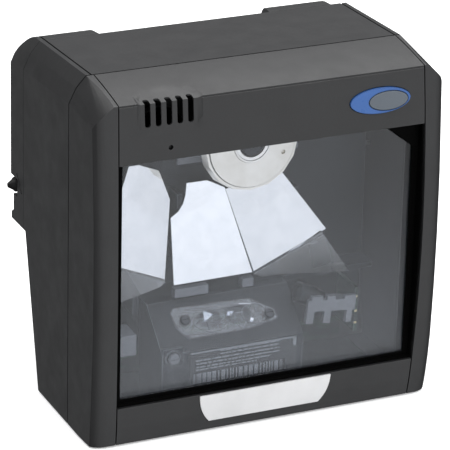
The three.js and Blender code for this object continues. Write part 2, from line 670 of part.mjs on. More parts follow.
// A moulded clear tray with two lens bulges and a flat rim; it lies on the sloping lid.
function collectorOptic() {
  const rim = polygon([
    [-19.6, 6], [-17.6, 7.4], [16, 6.6], [25.4, 0.4], [26, -4], [12, -6.4], [-15, -6.6], [-19, -1],
  ]);
  const tray = prismAlongY(rim, -1.9, -0.5);
  const lens = (u, radius) => {
    const dome = new THREE.SphereGeometry(radius, 16, 8).scale(1, 0.5, 0.75).translate(u, -1.2, 0.4);
    return common(toSolid(dome), block(-FAR, FAR, -20, -0.6, -FAR, FAR));
  };
  const screwHoles = COLLECTOR_SCREWS.map(([u, v]) => rodAlongY(1.4, u, v, -10, 5, 12));
  return cut(join(tray, lens(-4, 5.5), lens(9, 6)), ...screwHoles);
}

function detectorBoard() {
  return inMirrorPlane(block(-14, 16, 8.6, 9.8, -5, 5), SLOPE);
}

function photodiode() {
  return inMirrorPlane(block(-1.5, 4.5, 6.6, 8.3, -2.4, 2.6), SLOPE);
}

// The laser looks up to the left, toward the facet wheel.
const LASER = { at: [19.4, -31, 50], dip: 24 };
const aimLaser = (solid) => solid.rotate([0, 0, -90]).rotate([0, LASER.dip, 0]).translate(LASER.at);

function laserBarrel() {
  const profile = [[0, 2], [2.6, 2], [2.8, 0], [4, 0], [4.4, 0.5], [4.4, 8.5], [3.6, 9], [3.6, 13], [0, 13]];
  return turned(profile, 24);
}

function laserLens() {
  return turned([[0, 0.2], [1.4, 0.5], [2.3, 1.2], [2.3, 1.7], [0, 1.7]], 20);
}

// A comb-like moulding whose bar dips to the right; its shelf reaches back under the laser board.
function laserBracket() {
  const bar = block(-11, 11, -1, 1, -2, 3);
  const legs = [[-11, -7.6], [-3, 0.2], [7.4, 10]].map(([x0, x1]) => block(x0, x1, -1, 1, -7.4, -1.5));
  const teeth = [[-9.6, -4.4], [-2.4, 1.4], [5.6, 11]].map(([x0, x1]) => block(x0, x1, -1, 1, 2.6, 4.6));
  const shelf = block(2, 10.6, 0, 12, -2, 0);
  return join(bar, ...legs, ...teeth, shelf).rotate([0, 6, 0]).translate([32.6, -37, 44]);
}

function laserBoard() {
  return block(45, 46.6, -34, -15.5, 29, 49);
}

function powerModule() {
  return block(-63, -54.4, -37, -26, 36.4, 45.4);
}

function mainBoard() {
  return block(-58, 58, 4.2, 5.8, 8, 60);
}

// Sockets in a row on the main board; each looks out to the rear through the sloping wall.
const CONNECTORS = [
  { name: "host_socket", x: -22, halfWidth: 7.6, z: 14, height: 13.4, mouth: [11.6, 6.8], mouthZ: 17.4 },
  { name: "aux_socket", x: 2, halfWidth: 7.6, z: 14, height: 13.4, mouth: [9.8, 6.8], mouthZ: 17.4 },
  { name: "power_jack", x: 24, halfWidth: 5.2, z: 14, height: 11, mouth: [6.2, 6.2], mouthZ: 16.4 },
];
const SOCKET_FRONT_Y = 6.1;
const SOCKET_MOUTH_Y = 17.8;

function socket({ x, halfWidth, z, height, mouth, mouthZ }) {
  const body = block(x - halfWidth, x + halfWidth, SOCKET_FRONT_Y, SOCKET_MOUTH_Y, z, z + height);
  const well = block(x - mouth[0] / 2, x + mouth[0] / 2, 8, 30, mouthZ, mouthZ + mouth[1]);
  const keyway = block(x - 1.6, x + 1.6, 12, 30, mouthZ + mouth[1] - 0.1, mouthZ + mouth[1] + 1.6);
  return cut(body, well, keyway);
}

// ---- stand pins ----

// A turned pin that points out sideways from each rear corner; the stand's arms snap over it.
function standPin() {
  const profile = [[0, 0], [3.2, 0], [3.2, 4.6], [2.9, 5], [2.6, 5], [1, 7.6], [0, 7.8]];
  return turned(profile, 20);
}

// ---- materials ----
const look = (color, roughness, metalness = 0) => new THREE.MeshStandardMaterial({ color, roughness, metalness });
const clear = (color, opacity) =>
  new THREE.MeshStandardMaterial({ color, roughness: 0.05, transparent: true, opacity });
const housingPlastic = () => look("#38383a", 0.55);
const blackPlastic = () => look("#0d0d0e", 0.5);
const blackRubber = () => look("#141414", 0.85);
const windowPane = () => clear("#5e646c", 0.35);
const platePlastic = () => look("#f0f0f0", 0.35);
const bluePlastic = () => look("#4878c0", 0.35);
const greyPlastic = () => look("#6c747e", 0.4);
const chassisPlastic = () => look("#2b2e33", 0.6);
const silvered = () => look("#f2f4f8", 0.05, 1);
const satinAluminium = () => look("#d9d6cf", 0.35, 0.9);
const steel = () => look("#a9abad", 0.35, 1);
const darkSteel = () => look("#3c3e41", 0.4, 1);
const circuitBoard = () => look("#1f4a34", 0.55);
const paleGrey = () => look("#9da2a8", 0.5);
const labelPaper = () => look("#7d8084", 0.6);
const clearPlastic = () => clear("#c8ced6", 0.4);
const paperCone = () => look("#1b1b1c", 0.8);

// ---- assembly ----
const scanner = new THREE.Group();

function place(parent, name, solid, material, position = [0, 0, 0]) {
  const mesh = new THREE.Mesh(toGeometry(solid), material);
  mesh.name = name;
  mesh.position.set(...position);
  parent.add(mesh);
  return mesh;
}

function addHousing() {
  place(scanner, "front_cover", frontCover(), housingPlastic());
  place(scanner, "brow_fascia", browFascia(), housingPlastic());
  place(scanner, "lower_bar", lowerBar(), housingPlastic());
  place(scanner, "name_plate", namePlate(), platePlastic());
  place(scanner, "rear_housing", rearHousing(), housingPlastic());
  place(scanner, "rear_cover", rearCover(), housingPlastic());
  place(scanner, "base_plate", basePlate(), blackPlastic());
  FOOT_PLACES.forEach(([x, y], i) => place(scanner, `foot_${i + 1}`, rubberFoot(), blackRubber(), [x, y, 0]));
  SCREW_PLACES.forEach(([x, z], i) => {
    const mesh = place(scanner, `rear_screw_${i + 1}`, screw(2.9, 1.4, 1.5, 14), steel(), [x, 47.8, z]);
    mesh.rotation.x = Math.PI;
  });
  for (const [side, name] of [[-1, "stand_pin_left"], [1, "stand_pin_right"]]) {
    const pin = place(scanner, name, standPin(), blackPlastic(), [side * 71.7, PIN_Y, PIN_Z]);
    pin.rotation.z = (-side * Math.PI) / 2;
  }
}

function addWindow() {
  place(scanner, "window_gasket", windowGasket(), blackRubber());
  place(scanner, "window_glass", windowGlass(), windowPane());
}

function addButtonGroup() {
  const tilted = new THREE.Group();
  tilted.position.set(...BUTTON_AT);
  tilted.rotation.x = -BUTTON_TILT;
  scanner.add(tilted);
  place(tilted, "button_bezel", buttonBezel(), bluePlastic());
  place(tilted, "push_button", pushButton(), greyPlastic());
  place(tilted, "switch_plunger", switchPlunger(), blackPlastic());
  place(tilted, "switch_body", switchBody(), darkSteel());
  place(tilted, "button_board", buttonBoard(), circuitBoard());
}

function addSound() {
  place(scanner, "light_pipe", rodAlongY(0.75, LIGHT_X, LIGHT_Z, -44.9, -38.4, 12), blackPlastic());
  place(scanner, "speaker", speaker(), paperCone(), [-45.5, -36.6, 132.5]);
  place(scanner, "speaker_bracket", speakerBracket(), blackPlastic());
}

function addScanEngine() {
  place(scanner, "optical_chassis", opticalChassis(), chassisPlastic());
  for (const [name, spec] of Object.entries(MIRRORS)) place(scanner, name, mirrorPane(spec), silvered());
  place(scanner, "mirror_clip_wide", mirrorClipWide(), paleGrey());
  place(scanner, "mirror_clip_small", mirrorClipSmall(), paleGrey());
  place(scanner, "facet_wheel", facetWheel(), satinAluminium(), [WHEEL_X, WHEEL_FRONT_Y, WHEEL_Z]);
  place(scanner, "rotor_hub", rotorHub(), darkSteel(), [WHEEL_X, WHEEL_FRONT_Y - 0.2, WHEEL_Z]);
  place(scanner, "spindle", spindle(), steel(), [WHEEL_X, WHEEL_FRONT_Y - 0.2, WHEEL_Z]);
  place(scanner, "motor_can", motorCan(), steel(), [WHEEL_X, -19, WHEEL_Z]);
  place(scanner, "motor_bracket", motorBracket(), paleGrey());
  place(scanner, "motor_board", motorBoard(), circuitBoard());
}

function addElectronics() {
  place(scanner, "electronics_cover", electronicsCover(), chassisPlastic());
  place(scanner, "rating_label", ratingLabel(), labelPaper());
  place(scanner, "cover_screw", screw(2.4, 1.2, 1.2, 4), paleGrey(), [-38.2, COVER_FRONT_Y - 2, 32.2]);
  const slope = new THREE.Group();
  slope.position.set(...SLOPE.at);
  slope.rotation.x = THREE.MathUtils.degToRad(-SLOPE.lean);
  scanner.add(slope);
  place(slope, "collector_optic", collectorOptic(), clearPlastic());
  COLLECTOR_SCREWS.forEach(([u, v], i) =>
    place(slope, `collector_screw_${i + 1}`, screw(2.2, 1, 1, 1.9), darkSteel(), [u, -3.3, v]));
  place(scanner, "detector_board", detectorBoard(), circuitBoard());
  place(scanner, "photodiode", photodiode(), blackPlastic());
  place(scanner, "laser_barrel", aimLaser(laserBarrel()), darkSteel());
  place(scanner, "laser_lens", aimLaser(laserLens()), clearPlastic());
  place(scanner, "laser_bracket", laserBracket(), paleGrey());
  place(scanner, "laser_board", laserBoard(), circuitBoard());
  place(scanner, "power_module", powerModule(), paleGrey());
  place(scanner, "main_board", mainBoard(), circuitBoard());
  for (const connector of CONNECTORS) place(scanner, connector.name, socket(connector), blackPlastic());
}

addHousing();
addWindow();
addButtonGroup();
addSound();
addScanEngine();
addElectronics();

export default scanner;
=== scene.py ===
"""The looks of a compact vertical presentation scanner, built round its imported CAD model.

Everything is in metres in the CAD frame: X to the right, the front faces -Y, Z up, the counter at Z 0.
"""

import math
import random

import bmesh
import bpy
from mathutils import Matrix, Vector


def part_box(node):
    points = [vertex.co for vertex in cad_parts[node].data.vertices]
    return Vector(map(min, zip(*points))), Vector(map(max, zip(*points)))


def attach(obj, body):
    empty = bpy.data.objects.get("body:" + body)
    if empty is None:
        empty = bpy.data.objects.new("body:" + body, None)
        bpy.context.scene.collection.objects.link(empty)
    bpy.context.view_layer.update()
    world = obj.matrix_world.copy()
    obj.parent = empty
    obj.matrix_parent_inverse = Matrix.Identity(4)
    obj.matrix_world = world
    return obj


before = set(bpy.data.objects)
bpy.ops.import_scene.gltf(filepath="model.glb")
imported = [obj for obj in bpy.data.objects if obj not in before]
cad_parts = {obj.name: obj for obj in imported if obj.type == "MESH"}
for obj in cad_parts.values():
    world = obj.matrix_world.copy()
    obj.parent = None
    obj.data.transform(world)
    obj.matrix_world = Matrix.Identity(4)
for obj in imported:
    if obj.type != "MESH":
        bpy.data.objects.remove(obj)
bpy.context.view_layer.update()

MM = 0.001
SEED = 11


# ---- finishes ----


def srgb(code):
    """A colour written as #rrggbb, as the linear values that a shader takes."""
    parts = [int(code[i : i + 2], 16) / 255 for i in (1, 3, 5)]
    linear = [p / 12.92 if p <= 0.04045 else ((p + 0.055) / 1.055) ** 2.4 for p in parts]
    return (*linear, 1.0)


def shade(colour, factor):
    """The colour, darker or lighter by a factor."""
    return (*[min(1.0, channel * factor) for channel in colour[:3]], 1.0)


NOISE_LOW = 0.3  # a noise pattern mostly stays between these two values
NOISE_HIGH = 0.7
BEVEL_SAMPLES = 4
EDGE_STARTS = 0.995  # cosines of the turn from the true normal, where the edge mask starts and is full
EDGE_FULL = 0.9


def set_range(node, low, high, to_low, to_high):
    for name, number in zip(("From Min", "From Max", "To Min", "To Max"), (low, high, to_low, to_high)):
        node.inputs[name].default_value = number


class Finish:
    """One node material. Its methods add nodes and return their output sockets."""

    def __init__(self, name, colour, roughness, metallic=0.0, specular=0.5):
        self.material = bpy.data.materials.new(name)
        self.material.use_nodes = True
        self.nodes = self.material.node_tree.nodes
        self.nodes.clear()
        self.shader = self.add("BsdfPrincipled")
        self.shader.inputs["Base Color"].default_value = colour
        self.shader.inputs["Roughness"].default_value = roughness
        self.shader.inputs["Metallic"].default_value = metallic
        self.shader.inputs["Specular IOR Level"].default_value = specular
        self.output = self.add("OutputMaterial")
        self.link(self.shader.outputs["BSDF"], self.output.inputs["Surface"])
        self.place = self.add("TexCoord").outputs["Object"]

    def add(self, kind):
        return self.nodes.new("ShaderNode" + kind)

    def link(self, source, target):
        self.material.node_tree.links.new(source, target)

    def noise(self, size, detail=3.0, stretch=(1, 1, 1)):
        """A soft random pattern whose blotches measure about size metres; stretch lengthens them."""
        mapping = self.add("Mapping")
        mapping.inputs["Scale"].default_value = [1 / s for s in stretch]
        self.link(self.place, mapping.inputs["Vector"])
        pattern = self.add("TexNoise")
        pattern.inputs["Scale"].default_value = 1 / size
        pattern.inputs["Detail"].default_value = detail
        self.link(mapping.outputs["Vector"], pattern.inputs["Vector"])
        return pattern.outputs["Fac"]

    def cells(self, size):
        """Pits about size metres across, deepest in their middles."""
        pattern = self.add("TexVoronoi")
        pattern.feature = "SMOOTH_F1"
        pattern.inputs["Scale"].default_value = 1 / size
        self.link(self.place, pattern.inputs["Vector"])
        return pattern.outputs["Distance"]

    def ranged(self, value, low, high, to_low, to_high):
        """The value moved from the range low to high onto the range to_low to to_high."""
        node = self.add("MapRange")
        self.link(value, node.inputs["Value"])
        set_range(node, low, high, to_low, to_high)
        return node.outputs["Result"]

    def spread(self, pattern, to_low, to_high):
        """A noise pattern's usual range, stretched onto another."""
        return self.ranged(pattern, NOISE_LOW, NOISE_HIGH, to_low, to_high)

    def math(self, operation, a, b):
        """The operation on two values, each a number or a socket."""
        node = self.add("Math")
        node.operation = operation
        for socket, value in zip(node.inputs, (a, b)):
            if isinstance(value, (int, float)):
                socket.default_value = value
            else:
                self.link(value, socket)
        return node.outputs["Value"]

    def blend(self, factor, a, b):
        """A mix of two colours: a where the factor is 0, b where it is 1."""
        node = self.add("Mix")
        node.data_type = "RGBA"
        sockets = {s.name: s for s in node.inputs if s.enabled}
        self.link(factor, sockets["Factor"])
        for key, value in (("A", a), ("B", b)):
            if isinstance(value, tuple):
                sockets[key].default_value = value
            else:
                self.link(value, sockets[key])
        return next(s for s in node.outputs if s.enabled)

    def mixed(self, factor, a, b):
        """A mix of two shaders: a where the factor is 0, b where it is 1."""
        node = self.add("MixShader")
        self.link(factor, node.inputs["Fac"])
        self.link(a, node.inputs[1])
        self.link(b, node.inputs[2])
        return node.outputs["Shader"]

    def bump(self, height, depth, after=None):
        """A normal tipped by a height pattern, on top of an earlier normal if one is given."""
        node = self.add("Bump")
        node.inputs["Distance"].default_value = depth
        self.link(height, node.inputs["Height"])
        if after is not None:
            self.link(after, node.inputs["Normal"])
        return node.outputs["Normal"]

    def edges(self, reach):
        """1 along edges, 0 on flat faces: how far a rounded normal turns from the true one."""
        rounded = self.add("Bevel")
        rounded.samples = BEVEL_SAMPLES
        rounded.inputs["Radius"].default_value = reach
        true = self.add("NewGeometry")
        dot = self.add("VectorMath")
        dot.operation = "DOT_PRODUCT"
        self.link(rounded.outputs["Normal"], dot.inputs[0])
        self.link(true.outputs["Normal"], dot.inputs[1])
        return self.ranged(dot.outputs["Value"], EDGE_STARTS, EDGE_FULL, 0, 1)

    def set(self, **sockets):
        """Sets or links the shader's inputs, named in lower case with underscores."""
        for name, value in sockets.items():
            socket = self.shader.inputs[name.replace("_", " ").title()]
            if isinstance(value, (int, float, tuple)):
                socket.default_value = value
            else:
                self.link(value, socket)


# Moulded plastic: the sizes of its patterns, and how much they change it.
PIT_SIZE = 0.45 * MM
PIT_DEPTH = 0.03 * MM
CLOUD_SIZE = 22 * MM
SPECK_SIZE = 0.7 * MM
GLOSS_SIZE = 9 * MM
RIPPLE_SIZE = 3.5 * MM
RIPPLE_SHARE = 0.8  # of the pits' depth
SPECKS_START = 0.35
SPECKS_FULL = 0.75
SPECK_SHADE = 1.35
CLOUD_SHADES = (0.93, 1.07)
GLOSS_SWING = (-0.05, 0.06)
EDGE_PATCHES = (0.4, 0.65, 0.25, 1)  # a range of the clouds, and the share of the edge wear and painted edge highlight it lets through
EDGE_REACH = 0.7 * MM  # how far in from an edge the wear and the painted edge highlight reach
WORN_SHADE = 2.6
EDGE_GLOSS = 0.12  # how much smoother the worn and the painted-highlight edges are


def moulded(
    name, colour, roughness, specular=0.5, grain=PIT_SIZE, depth=PIT_DEPTH, speckle=0.5,
    edge_wear_and_highlight=0.0, edge_colour=None,
):
    """Moulded plastic: a fine pitted grain, soft clouds of colour and gloss, and edges of another tint: real
    wear on the housing, painted highlight on the chassis.

    The edges are paler, unless the edge colour argument gives their colour.
    """
    finish = Finish(name, colour, roughness, specular=specular)
    clouds = finish.noise(CLOUD_SIZE, 4)
    specks = finish.ranged(finish.noise(SPECK_SIZE, 2), SPECKS_START, SPECKS_FULL, 0, speckle)
    darker, paler = (shade(colour, factor) for factor in CLOUD_SHADES)
    tint = finish.blend(finish.spread(clouds, 0, 1), darker, paler)
    tint = finish.blend(specks, tint, shade(colour, SPECK_SHADE))
    gloss = finish.spread(finish.noise(GLOSS_SIZE, 4), roughness + GLOSS_SWING[0], roughness + GLOSS_SWING[1])
    if edge_wear_and_highlight:
        # Tinted edges: real wear on the housing, a painted highlight where the chassis edges catch the light.
        patchy = finish.ranged(clouds, *EDGE_PATCHES)
        worn_and_highlit_edges = finish.math("MULTIPLY", finish.edges(EDGE_REACH), patchy)
        edge_tint = srgb(edge_colour) if edge_colour else shade(colour, WORN_SHADE)
        tint = finish.blend(finish.math("MULTIPLY", worn_and_highlit_edges, edge_wear_and_highlight), tint, edge_tint)
        gloss = finish.math("SUBTRACT", gloss, finish.math("MULTIPLY", worn_and_highlit_edges, EDGE_GLOSS))
    finish.set(base_color=tint, roughness=gloss)
    pits = finish.bump(finish.cells(grain), depth)
    finish.set(normal=finish.bump(finish.noise(RIPPLE_SIZE, 2), depth * RIPPLE_SHARE, pits))
    return finish.material


def housing_plastic():
    return moulded("housing_plastic", srgb("#202021"), 0.42, edge_wear_and_highlight=0.35)


def black_plastic():
    return moulded("black_plastic", srgb("#0b0b0c"), 0.45, specular=0.3)


def black_rubber():
    return moulded("black_rubber", srgb("#020202"), 0.7, specular=0.05, grain=0.8 * MM)


def plate_plastic():
    return moulded("plate_plastic", srgb("#cacacb"), 0.32, depth=0.002 * MM, speckle=0.05)


def blue_plastic():
    return moulded(
        "blue_plastic", srgb("#2c5591"), 0.3, depth=0.004 * MM, speckle=0.1, edge_wear_and_highlight=0.9, edge_colour="#0d1c38",
    )


def grey_plastic():
    return moulded("grey_plastic", srgb("#50575f"), 0.42, depth=0.006 * MM, speckle=0.15)


def chassis_plastic():
    # Its paler edges are a painted highlight, where the cover's edges catch the light.
    return moulded(
        "chassis_plastic", srgb("#1a1f26"), 0.5, specular=0.3, grain=1.5 * MM, depth=0.002 * MM, speckle=0.1,
        edge_wear_and_highlight=0.5, edge_colour="#8a9096",
    )


def printed_ink():
    """The pale ink of the rating label's print, also used for its painted edge highlights."""
    return moulded("printed_ink", srgb("#6f747b"), 0.5, depth=0.002 * MM, speckle=0.2)


def pale_grey():
    return moulded("pale_grey", srgb("#61656b"), 0.45, depth=0.006 * MM, speckle=0.2)


def label_paper():
    return moulded("label_paper", srgb("#23272c"), 0.5, grain=0.25 * MM, depth=0.002 * MM, speckle=0.15)


def paper_cone():
    return moulded("paper_cone", srgb("#141414"), 0.85, grain=0.3 * MM, depth=0.05 * MM)


TRACK_SIZE = 2.2 * MM
TRACK_STRETCH = (6, 1, 1)
TRACK_HEIGHT = 0.03 * MM
WEAVE_SIZE = 0.5 * MM
WEAVE_HEIGHT = 0.02 * MM


def circuit_board():
    """Dark green lacquer over raised copper tracks and the weave of the board."""
    finish = Finish("circuit_board", srgb("#14261f"), 0.4)
    tracks = finish.ranged(finish.noise(TRACK_SIZE, 1, TRACK_STRETCH), 0.5, 0.53, 0, 1)
    weave = finish.noise(WEAVE_SIZE, 1)
    finish.set(
        base_color=finish.blend(tracks, srgb("#11221b"), srgb("#1f3a2d")),
        roughness=finish.spread(weave, 0.32, 0.45),
        normal=finish.bump(weave, WEAVE_HEIGHT, finish.bump(tracks, TRACK_HEIGHT)),
    )
    return finish.material


DRAWN_LINE_SIZE = 0.5 * MM
DRAWN_LINE_DEPTH = 0.004 * MM
TARNISH_SIZE = 7 * MM
TARNISH_SHADE = 0.88


def metal(name, colour, roughness, stretch=(1, 1, 1)):
    """Metal with fine drawn lines along the stretched direction, and clouds of tarnish."""
    finish = Finish(name, colour, roughness, metallic=1.0)
    lines = finish.noise(DRAWN_LINE_SIZE, 3, stretch)
    tarnish = finish.spread(finish.noise(TARNISH_SIZE, 3), 0, 1)
    finish.set(
        base_color=finish.blend(tarnish, shade(colour, TARNISH_SHADE), colour),
        roughness=finish.spread(lines, roughness - 0.06, roughness + 0.08),
        normal=finish.bump(lines, DRAWN_LINE_DEPTH),
    )
    return finish.material


TURNED_RING_SIZE = 0.6 * MM
TURNED_RING_DEPTH = 0.003 * MM
BRIGHT_RADIUS = 7 * MM  # the face is brightest out to here, and fades to plain by the next radius
PLAIN_RADIUS = 8.6 * MM


def distance_from_axle(finish):
    """The distance of each point from the facet wheel's axle, which runs along Y."""
    low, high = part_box("facet_wheel")
    flat = finish.add("VectorMath")
    flat.operation = "MULTIPLY"
    flat.inputs[1].default_value = (1, 0, 1)
    finish.link(finish.place, flat.inputs[0])
    reach = finish.add("VectorMath")
    reach.operation = "DISTANCE"
    reach.inputs[1].default_value = ((low.x + high.x) / 2, 0, (low.z + high.z) / 2)
    finish.link(flat.outputs["Vector"], reach.inputs[0])
    return reach.outputs["Value"]


def satin_aluminium():
    """The facet wheel's metal: turned rings round its axle under a cloudy satin."""
    finish = Finish("satin_aluminium", srgb("#f4f0e8"), 0.36, metallic=1.0)
    radius = distance_from_axle(finish)
    noise = finish.add("TexNoise")
    noise.noise_dimensions = "1D"
    noise.inputs["Scale"].default_value = 1 / TURNED_RING_SIZE
    finish.link(radius, noise.inputs["W"])
    rings = noise.outputs["Fac"]
    clouds = finish.spread(finish.noise(8 * MM, 4), 0, 1)
    near_hub = finish.ranged(radius, PLAIN_RADIUS, BRIGHT_RADIUS, 0, 0.5)
    face = finish.blend(clouds, srgb("#e9e5dc"), srgb("#f8f5ee"))
    finish.set(
        base_color=finish.blend(near_hub, face, srgb("#ffffff")),
        roughness=finish.spread(rings, 0.32, 0.44),
        normal=finish.bump(rings, TURNED_RING_DEPTH),
    )
    return finish.material


def steel():
    return metal("steel", srgb("#a4a6a8"), 0.34, (1, 8, 1))


def dark_steel():
    return metal("dark_steel", srgb("#3a3c40"), 0.4)


def gold_plate():
    return metal("gold_plate", srgb("#c4b48c"), 0.34)


MIRROR_RIM = 0.5 * MM  # the bare ground edge round the silvering
DUST_SIZE = 6 * MM


def silvered(name="silvered", film=0.0):
    """A front-silvered mirror pane with the faintest dusting, or with an even film of it."""
    finish = Finish(name, srgb("#f3f5f9"), 0.04, metallic=1.0 - film)
    film_pattern = finish.noise(DUST_SIZE, 5)
    silver = finish.blend(finish.ranged(film_pattern, 0.35, 0.7, 0, 1), srgb("#f8f9fb"), srgb("#f1f3f6"))
    finish.set(
        base_color=finish.blend(finish.edges(MIRROR_RIM), silver, srgb("#5c6c74")),
        roughness=finish.ranged(film_pattern, 0.3, 0.8, 0.01, 0.04),
    )
    return finish.material


GLASS_REFLECTS = 0.043  # straight on, at each face
HAZE_SIZE = 30 * MM
LOW_LIGHT_TOP = 95 * MM  # painted light: the film thickens from this height and is thickest at the next, so the pane is lighter towards the bottom
LOW_LIGHT_BOTTOM = 15 * MM


def mirroring(finish):
    """How much clear stock mirrors: little when it is seen straight on, all at a slant."""
    facing = finish.add("LayerWeight")
    facing.inputs["Blend"].default_value = 0.5
    slant = finish.math("POWER", facing.outputs["Facing"], 5)
    return finish.ranged(slant, 0, 1, GLASS_REFLECTS, 1)


def haze(finish, thin, thick, lower_painted_light):
    """How thick the film of haze is: cloudy between thin and thick, and thicker low down as painted light,
    which makes the pane lighter towards the bottom.
    """
    depth = finish.ranged(finish.noise(HAZE_SIZE, 4), 0.35, 0.7, thin, thick)
    if not lower_painted_light:
        return depth
    parts = finish.add("SeparateXYZ")
    finish.link(finish.place, parts.inputs["Vector"])
    # Painted light: the film thickens low down, so the pane is lighter towards the bottom.
    film_pattern = finish.ranged(parts.outputs["Z"], LOW_LIGHT_TOP, LOW_LIGHT_BOTTOM, 0, lower_painted_light)
    return finish.math("ADD", depth, film_pattern)


def see_through(name, tint, haze_colour, thin, thick, gloss=0.03, lower_painted_light=0.0):
    """Clear stock: tinted, mirror-like at a slant, under a film of haze."""
    finish = Finish(name, tint, gloss)
    finish.nodes.remove(finish.shader)
    passing = finish.add("BsdfTransparent")
    passing.inputs["Color"].default_value = tint
    reflected = finish.add("BsdfGlossy")
    reflected.inputs["Roughness"].default_value = gloss
    film = finish.add("BsdfDiffuse")
    film.inputs["Color"].default_value = haze_colour
    veiled = finish.mixed(haze(finish, thin, thick, lower_painted_light), passing.outputs["BSDF"], film.outputs["BSDF"])
    whole = finish.mixed(mirroring(finish), veiled, reflected.outputs["BSDF"])
    finish.link(whole, finish.output.inputs["Surface"])
    return finish.material


def window_pane():
    # The film thickens low down as painted light: the pane is lighter towards the bottom.
    return see_through("window_pane", srgb("#fafbfd"), srgb("#aab0ba"), 0.005, 0.015, lower_painted_light=0.06)


def clear_plastic():
    return see_through("clear_plastic", srgb("#eef1f5"), srgb("#d8dde4"), 0.03, 0.06, gloss=0.08)


def packed_slots():
    """Each CAD node's material slot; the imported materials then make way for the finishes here."""
    found = {name: piece.data.materials[0].name for name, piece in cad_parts.items()}
    for name in set(found.values()):
        bpy.data.materials.remove(bpy.data.materials[name])
    return found


NODE_SLOTS = packed_slots()
MAKERS = {
    maker.__name__: maker
    for maker in (
        housing_plastic, black_plastic, black_rubber, window_pane, plate_plastic, blue_plastic, grey_plastic,
        chassis_plastic, silvered, satin_aluminium, steel, dark_steel, circuit_board, pale_grey, label_paper,
        clear_plastic, paper_cone,
    )
}
FINISHES = {name: maker() for name, maker in MAKERS.items()}
DUSTY_MIRROR = silvered("dusty_mirror", 0.25)
INK_AND_HIGHLIGHT = printed_ink()
GOLD = gold_plate()


# ---- the CAD pieces ----

SEAMLESS = 0.004 * MM  # corners closer than this are one corner
FLAT_ANGLE = math.radians(0.8)
SHARP_ANGLE = math.radians(28)
FLAT_FACE_WEIGHT = 60  # how far large flat faces decide the shading of the rounded edges beside them


def refine(piece, bevel):
    """Joins a CAD node's split corners, merges its flat faces and rounds its edges."""
    if "custom_normal" in piece.data.attributes:
        piece.data.attributes.remove(piece.data.attributes["custom_normal"])
    piece.data.polygons.foreach_set("use_smooth", [True] * len(piece.data.polygons))
    weld = piece.modifiers.new("weld", "WELD")
    weld.merge_threshold = SEAMLESS
    flats = piece.modifiers.new("flats", "DECIMATE")
    flats.decimate_type = "DISSOLVE"
    flats.angle_limit = FLAT_ANGLE
    rounding = piece.modifiers.new("rounding", "BEVEL")
    rounding.width = bevel
    rounding.segments = 2
    rounding.limit_method = "ANGLE"
    rounding.angle_limit = SHARP_ANGLE
    rounding.use_clamp_overlap = True
    rounding.miter_outer = "MITER_ARC"
    soft = piece.modifiers.new("soft", "WEIGHTED_NORMAL")
    soft.keep_sharp = False
    soft.weight = FLAT_FACE_WEIGHT


# How far each node's edges are rounded, in mm.
ROUNDING = {
    "front_cover": 0.5, "brow_fascia": 0.55, "lower_bar": 0.45, "rear_housing": 0.4, "rear_cover": 0.45,
    "name_plate": 0.25, "base_plate": 0.4, "button_bezel": 0.3, "push_button": 0.35, "facet_wheel": 0.2,
    "window_gasket": 0.2, "window_glass": 0.25,
}
DEFAULT_ROUNDING = 0.12
DUSTY_NODES = ("mirror_lower_left", "mirror_lower_right")


def dress_cad():
    """Gives every CAD node its finish and its rounded edges."""
    for name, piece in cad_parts.items():
        piece.data.materials.clear()
        finish = DUSTY_MIRROR if name in DUSTY_NODES else FINISHES[NODE_SLOTS[name]]
        piece.data.materials.append(finish)
        refine(piece, ROUNDING.get(name, DEFAULT_ROUNDING) * MM)


# ---- small details that ride on the CAD pieces ----


def add_piece(name, mesh, finish, bevel=0.0):
    """A detail that rides on the housing."""
    piece = bpy.data.objects.new(name, mesh)
    bpy.context.scene.collection.objects.link(piece)
    mesh.materials.append(finish)
    if bevel:
        rounding = piece.modifiers.new("rounding", "BEVEL")
        rounding.width = bevel
        rounding.segments = 2
    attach(piece, "housing")


def finished_mesh(name, made):
    """Turns a bmesh into a mesh whose faces all look outward."""
    bmesh.ops.recalc_face_normals(made, faces=made.faces)
    mesh = bpy.data.meshes.new(name)
    made.to_mesh(mesh)
    made.free()
    return mesh


def boxes_mesh(name, boxes):
    """One mesh of separate blocks, each given by its low and high corners."""
    made = bmesh.new()
    for low, high in boxes:
        middle = [(a + b) / 2 for a, b in zip(low, high)]
        size = [b - a for a, b in zip(low, high)]
        turn = Matrix.Translation(middle) @ Matrix.Diagonal((*size, 1.0))
        bmesh.ops.create_cube(made, size=1.0, matrix=turn)
    return finished_mesh(name, made)


MARK_THICK = 0.03 * MM
# The label's print, in mm from the label's lower left corner. Each row of dashes: height, start, end.
DASH_ROWS = [
    (13.2, 13.5, 40.0), (11.8, 13.5, 40.0), (10.2, 2.8, 40.3),
    (8.7, 2.8, 40.3), (7.2, 2.8, 36.5), (6.0, 2.8, 30.0),
]
DASH_TALL = 0.62
DASH_LENGTHS = (0.7, 3.2)
DASH_GAPS = (0.35, 0.7)
BAR_WIDTHS = (0.6, 0.9, 1.3, 1.7)
BAR_GAPS = (0.5, 0.7, 0.9)
STRIP = {"left": 2.3, "right": 43.2, "bottom": 0.3, "top": 4.7}
STRIP_ENDS = [(-0.6, 2.0), (-2.6, 0.0)]  # wide end bars, from the strip's left and right ends
# Painted highlights where the label's top and right edges catch the light, drawn as pale lines:
HIGHLIGHT_INSET = 0.2
HIGHLIGHT_TOP = (0.75, 0.1)  # the top line's lower and upper edge, below the label's top
HIGHLIGHT_SIDE = (1.6, 4.2)  # the side line's width with its inset, and its foot below the label's top


